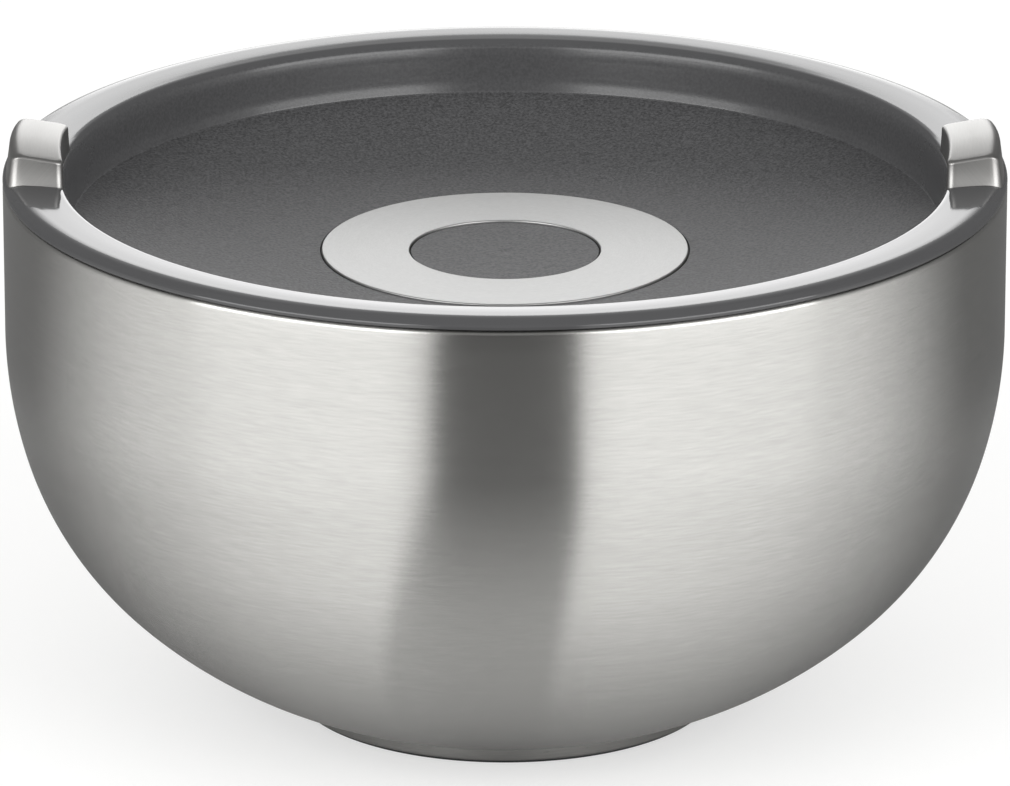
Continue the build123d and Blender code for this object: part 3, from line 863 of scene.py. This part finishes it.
class BOWL_OT_stage(bpy.types.Operator):
    """Make the floor, lamps, flags, world and camera"""

    bl_idname = "bowl.stage"
    bl_label = "Stage"

    def execute(self, context):
        scene = context.scene
        scene.view_settings.view_transform = "Standard"
        self.floor()
        self.flags()
        self.lamps()
        self.world()
        self.camera()
        return {"FINISHED"}

    def floor(self):
        """A pale floor that the camera and reflections see as white, with the shadow kept."""
        corner, level = 6.0, 0.56
        places = np.array(((-1, -1, 0), (1, -1, 0), (1, 1, 0), (-1, 1, 0))) * corner
        floor = make_object("floor", places, np.array(((0, 1, 2, 3),)))
        material, tree = bare_material("painted_floor")
        path = add_node(tree, "ShaderNodeLightPath").outputs
        first = add_node(tree, "ShaderNodeMath", {0: path["Is Camera Ray"], 1: path["Is Glossy Ray"]})
        seen = add_node(tree, "ShaderNodeMath", {0: first.outputs[0], 1: path["Is Transmission Ray"]})
        gain = {0: seen.outputs[0], 1: level}
        lift = add_node(tree, "ShaderNodeMath", gain, operation="MULTIPLY", use_clamp=True)
        paint = add_node(tree, "ShaderNodeBsdfDiffuse", {"Color": (*linear("#b8b8b7"), 1)})
        glow = add_node(tree, "ShaderNodeEmission", {"Strength": lift.outputs[0]})
        both = add_node(tree, "ShaderNodeAddShader", {0: paint.outputs[0], 1: glow.outputs[0]})
        add_node(tree, "ShaderNodeOutputMaterial", {"Surface": both.outputs[0]})
        material.cycles.emission_sampling = "NONE"
        floor.data.materials.append(material)

    def flags(self):
        """Grey cards with soft edges, seen in reflections only, which give the steel its darker bands and a
        painted shadow under the bowl.
        """
        low, near, middle, high = 0.2 * MM, 0.3 * MM, 0.4 * MM, 0.6 * MM
        # The card under the bowl is painted shadow: seen only in reflections, it darkens the floor round
        # the foot, where the bowl shades it, and faintly further out.
        under = (
            (0.04, low, 0.9, 0),
            (0.06, low, 0.85, 0),
            (0.17, low, 0.1, 0),
            (0.6, low, 0.1, 0),
            (1, low, 0, 0),
        )
        beside = ((0.06, near, 0.8, 0), (0.12, near, 0.9, 0), (0.2, near, 0.85, 0), (0.35, near, 0, 0))
        side = ((0.14, middle, 0, 0), (0.3, middle, 1, 0), (1, middle, 1, 0), (1, 1.2, 1, 0))
        front = (
            (0.08, high, 0, -8),
            (0.12, high, 0.3, -7),
            (0.18, high, 0.6, -4.5),
            (0.28, high, 0.82, -2),
            (0.4, high, 0.97, -0.5),
            (1, high, 1, 0),
            (1, 0.55, 1, 0),
        )
        for name, edges, path, shade in (
            ("front_flag", (-15.6, -12.6, 14, 17), front, "#484848"),
            ("left_flag", (-172, -160, -124, -72), side, "#7c7c7c"),
            ("right_flag", (68, 118, 160, 172), side, "#747474"),
            ("left_near_flag", (-178, -168, -115, -18), beside, "#6c6c6c"),
            ("right_near_flag", (15, 112, 168, 178), beside, "#6c6c6c"),
            # Painted shadow: the card under the bowl darkens the reflected floor where the bowl shades it.
            ("painted_shadow_under_flag", (-180.1, -180, 180, 180.1), under, "#6c6c6c"),
        ):
            material, tree = bare_material(name)
            cover = add_node(tree, "ShaderNodeAttribute", attribute_name="cover").outputs["Fac"]
            clear = add_node(tree, "ShaderNodeBsdfTransparent").outputs[0]
            cloth = add_node(tree, "ShaderNodeBsdfDiffuse", {"Color": (*linear(shade), 1)}).outputs[0]
            soft = add_node(tree, "ShaderNodeMixShader", {0: cover, 1: clear, 2: cloth})
            add_node(tree, "ShaderNodeOutputMaterial", {"Surface": soft.outputs[0]})
            flag = sector(name, edges, path)
            flag.data.materials.append(material)
            flag.visible_camera = False
            flag.visible_diffuse = False
            flag.visible_shadow = False

    def lamps(self):
        """Two softboxes at the front left and right and a low wide one behind."""
        for name, bearing, away, height, wide, tall, power in (
            ("softbox_left", -46, 1.2, 0.65, 1.2, 0.7, 8.4),
            ("softbox_right", 46, 1.2, 0.65, 1.2, 0.7, 8.4),
            ("back_light", 180, 1.6, 0.45, 1.2, 0.7, 5.0),
        ):
            data = bpy.data.lights.new(name, "AREA")
            data.shape = "RECTANGLE"
            data.size, data.size_y, data.energy = wide, tall, power
            lamp = bpy.data.objects.new(name, data)
            bpy.context.scene.collection.objects.link(lamp)
            turn, middle = np.radians(bearing), Vector((0, 0, 0.1))
            lamp.location = (away * np.sin(turn), -away * np.cos(turn), height)
            aim = middle - lamp.location
            lamp.rotation_euler = aim.to_track_quat("-Z", "Y").to_euler()
            lamp.visible_camera = False

    def world(self):
        """White to the camera; to reflections bright near the horizon and dim overhead."""
        world = bpy.data.worlds.new("studio")
        bpy.context.scene.world = world
        world.use_nodes = True
        tree = world.node_tree
        tree.nodes.clear()
        white, fill, overhead = 1.0, 0.88, 0.3
        path = add_node(tree, "ShaderNodeLightPath").outputs
        way = add_node(tree, "ShaderNodeTexCoord").outputs["Generated"]
        height = add_node(tree, "ShaderNodeSeparateXYZ", {0: way}).outputs["Z"]
        fade = {"Value": height, 1: 0.35, 2: 0.65, 3: white, 4: overhead}
        dim = add_node(tree, "ShaderNodeMapRange", fade, interpolation_type="SMOOTHSTEP").outputs[0]
        lit = {0: path["Is Glossy Ray"], 2: fill, 3: dim}
        unseen = add_node(tree, "ShaderNodeMix", lit, data_type="FLOAT").outputs[0]
        shown = {0: path["Is Camera Ray"], 2: unseen, 3: white}
        level = add_node(tree, "ShaderNodeMix", shown, data_type="FLOAT").outputs[0]
        sky = add_node(tree, "ShaderNodeBackground", {"Strength": level})
        add_node(tree, "ShaderNodeOutputWorld", {"Surface": sky.outputs[0]})
        world.cycles.sampling_method = "NONE"

    def camera(self):
        """The photograph's view: from the front, 18.7 degrees above level, through a long lens."""
        data = bpy.data.cameras.new("camera")
        data.lens, data.sensor_width = 325.3, 36.0
        camera = bpy.data.objects.new("camera", data)
        bpy.context.scene.collection.objects.link(camera)
        target = Vector((0, 0, 75.8 * MM))
        rise, away = np.radians(18.71), 2.2
        camera.location = target + Vector((0, -away * np.cos(rise), away * np.sin(rise)))
        camera.rotation_euler = (target - camera.location).to_track_quat("-Z", "Y").to_euler()
        bpy.context.scene.camera = camera


class BOWL_PT_panel(bpy.types.Panel):
    """Lists the pieces and their sizes"""

    bl_label = "Insulated bowl"
    bl_idname = "BOWL_PT_panel"
    bl_space_type = "VIEW_3D"
    bl_region_type = "UI"
    bl_category = "Bowl"

    def draw(self, context):
        for piece in OPERATORS:
            self.layout.operator(piece.bl_idname)
        for group in (context.scene.bowl_sizes, context.scene.lid_sizes, context.scene.bowl_finishes):
            box = self.layout.box()
            for key in group.bl_rna.properties.keys():
                if key not in ("rna_type", "name"):
                    box.prop(group, key)


OPERATORS = (
    BOWL_OT_outer_shell,
    BOWL_OT_inner_liner,
    BOWL_OT_foot,
    BOWL_OT_lid_cover,
    BOWL_OT_ring_inlay,
    BOWL_OT_plug,
    BOWL_OT_grips,
    BOWL_OT_hidden_core,
    BOWL_OT_stage,
)
CLASSES = (BowlSizes, LidSizes, Finishes, *OPERATORS, BOWL_PT_panel)


def register():
    for item in CLASSES:
        bpy.utils.register_class(item)
    bpy.types.Scene.bowl_sizes = PointerProperty(type=BowlSizes)
    bpy.types.Scene.lid_sizes = PointerProperty(type=LidSizes)
    bpy.types.Scene.bowl_finishes = PointerProperty(type=Finishes)


def unregister():
    del bpy.types.Scene.bowl_finishes
    del bpy.types.Scene.lid_sizes
    del bpy.types.Scene.bowl_sizes
    for item in reversed(CLASSES):
        bpy.utils.unregister_class(item)


def main():
    """Build every piece and the stage."""
    register()
    bpy.ops.bowl.outer_shell()
    bpy.ops.bowl.inner_liner()
    bpy.ops.bowl.foot()
    bpy.ops.bowl.lid_cover()
    bpy.ops.bowl.ring_inlay()
    bpy.ops.bowl.plug()
    bpy.ops.bowl.grips()
    bpy.ops.bowl.hidden_core()
    bpy.ops.bowl.stage()


if __name__ == "__main__":
    main()
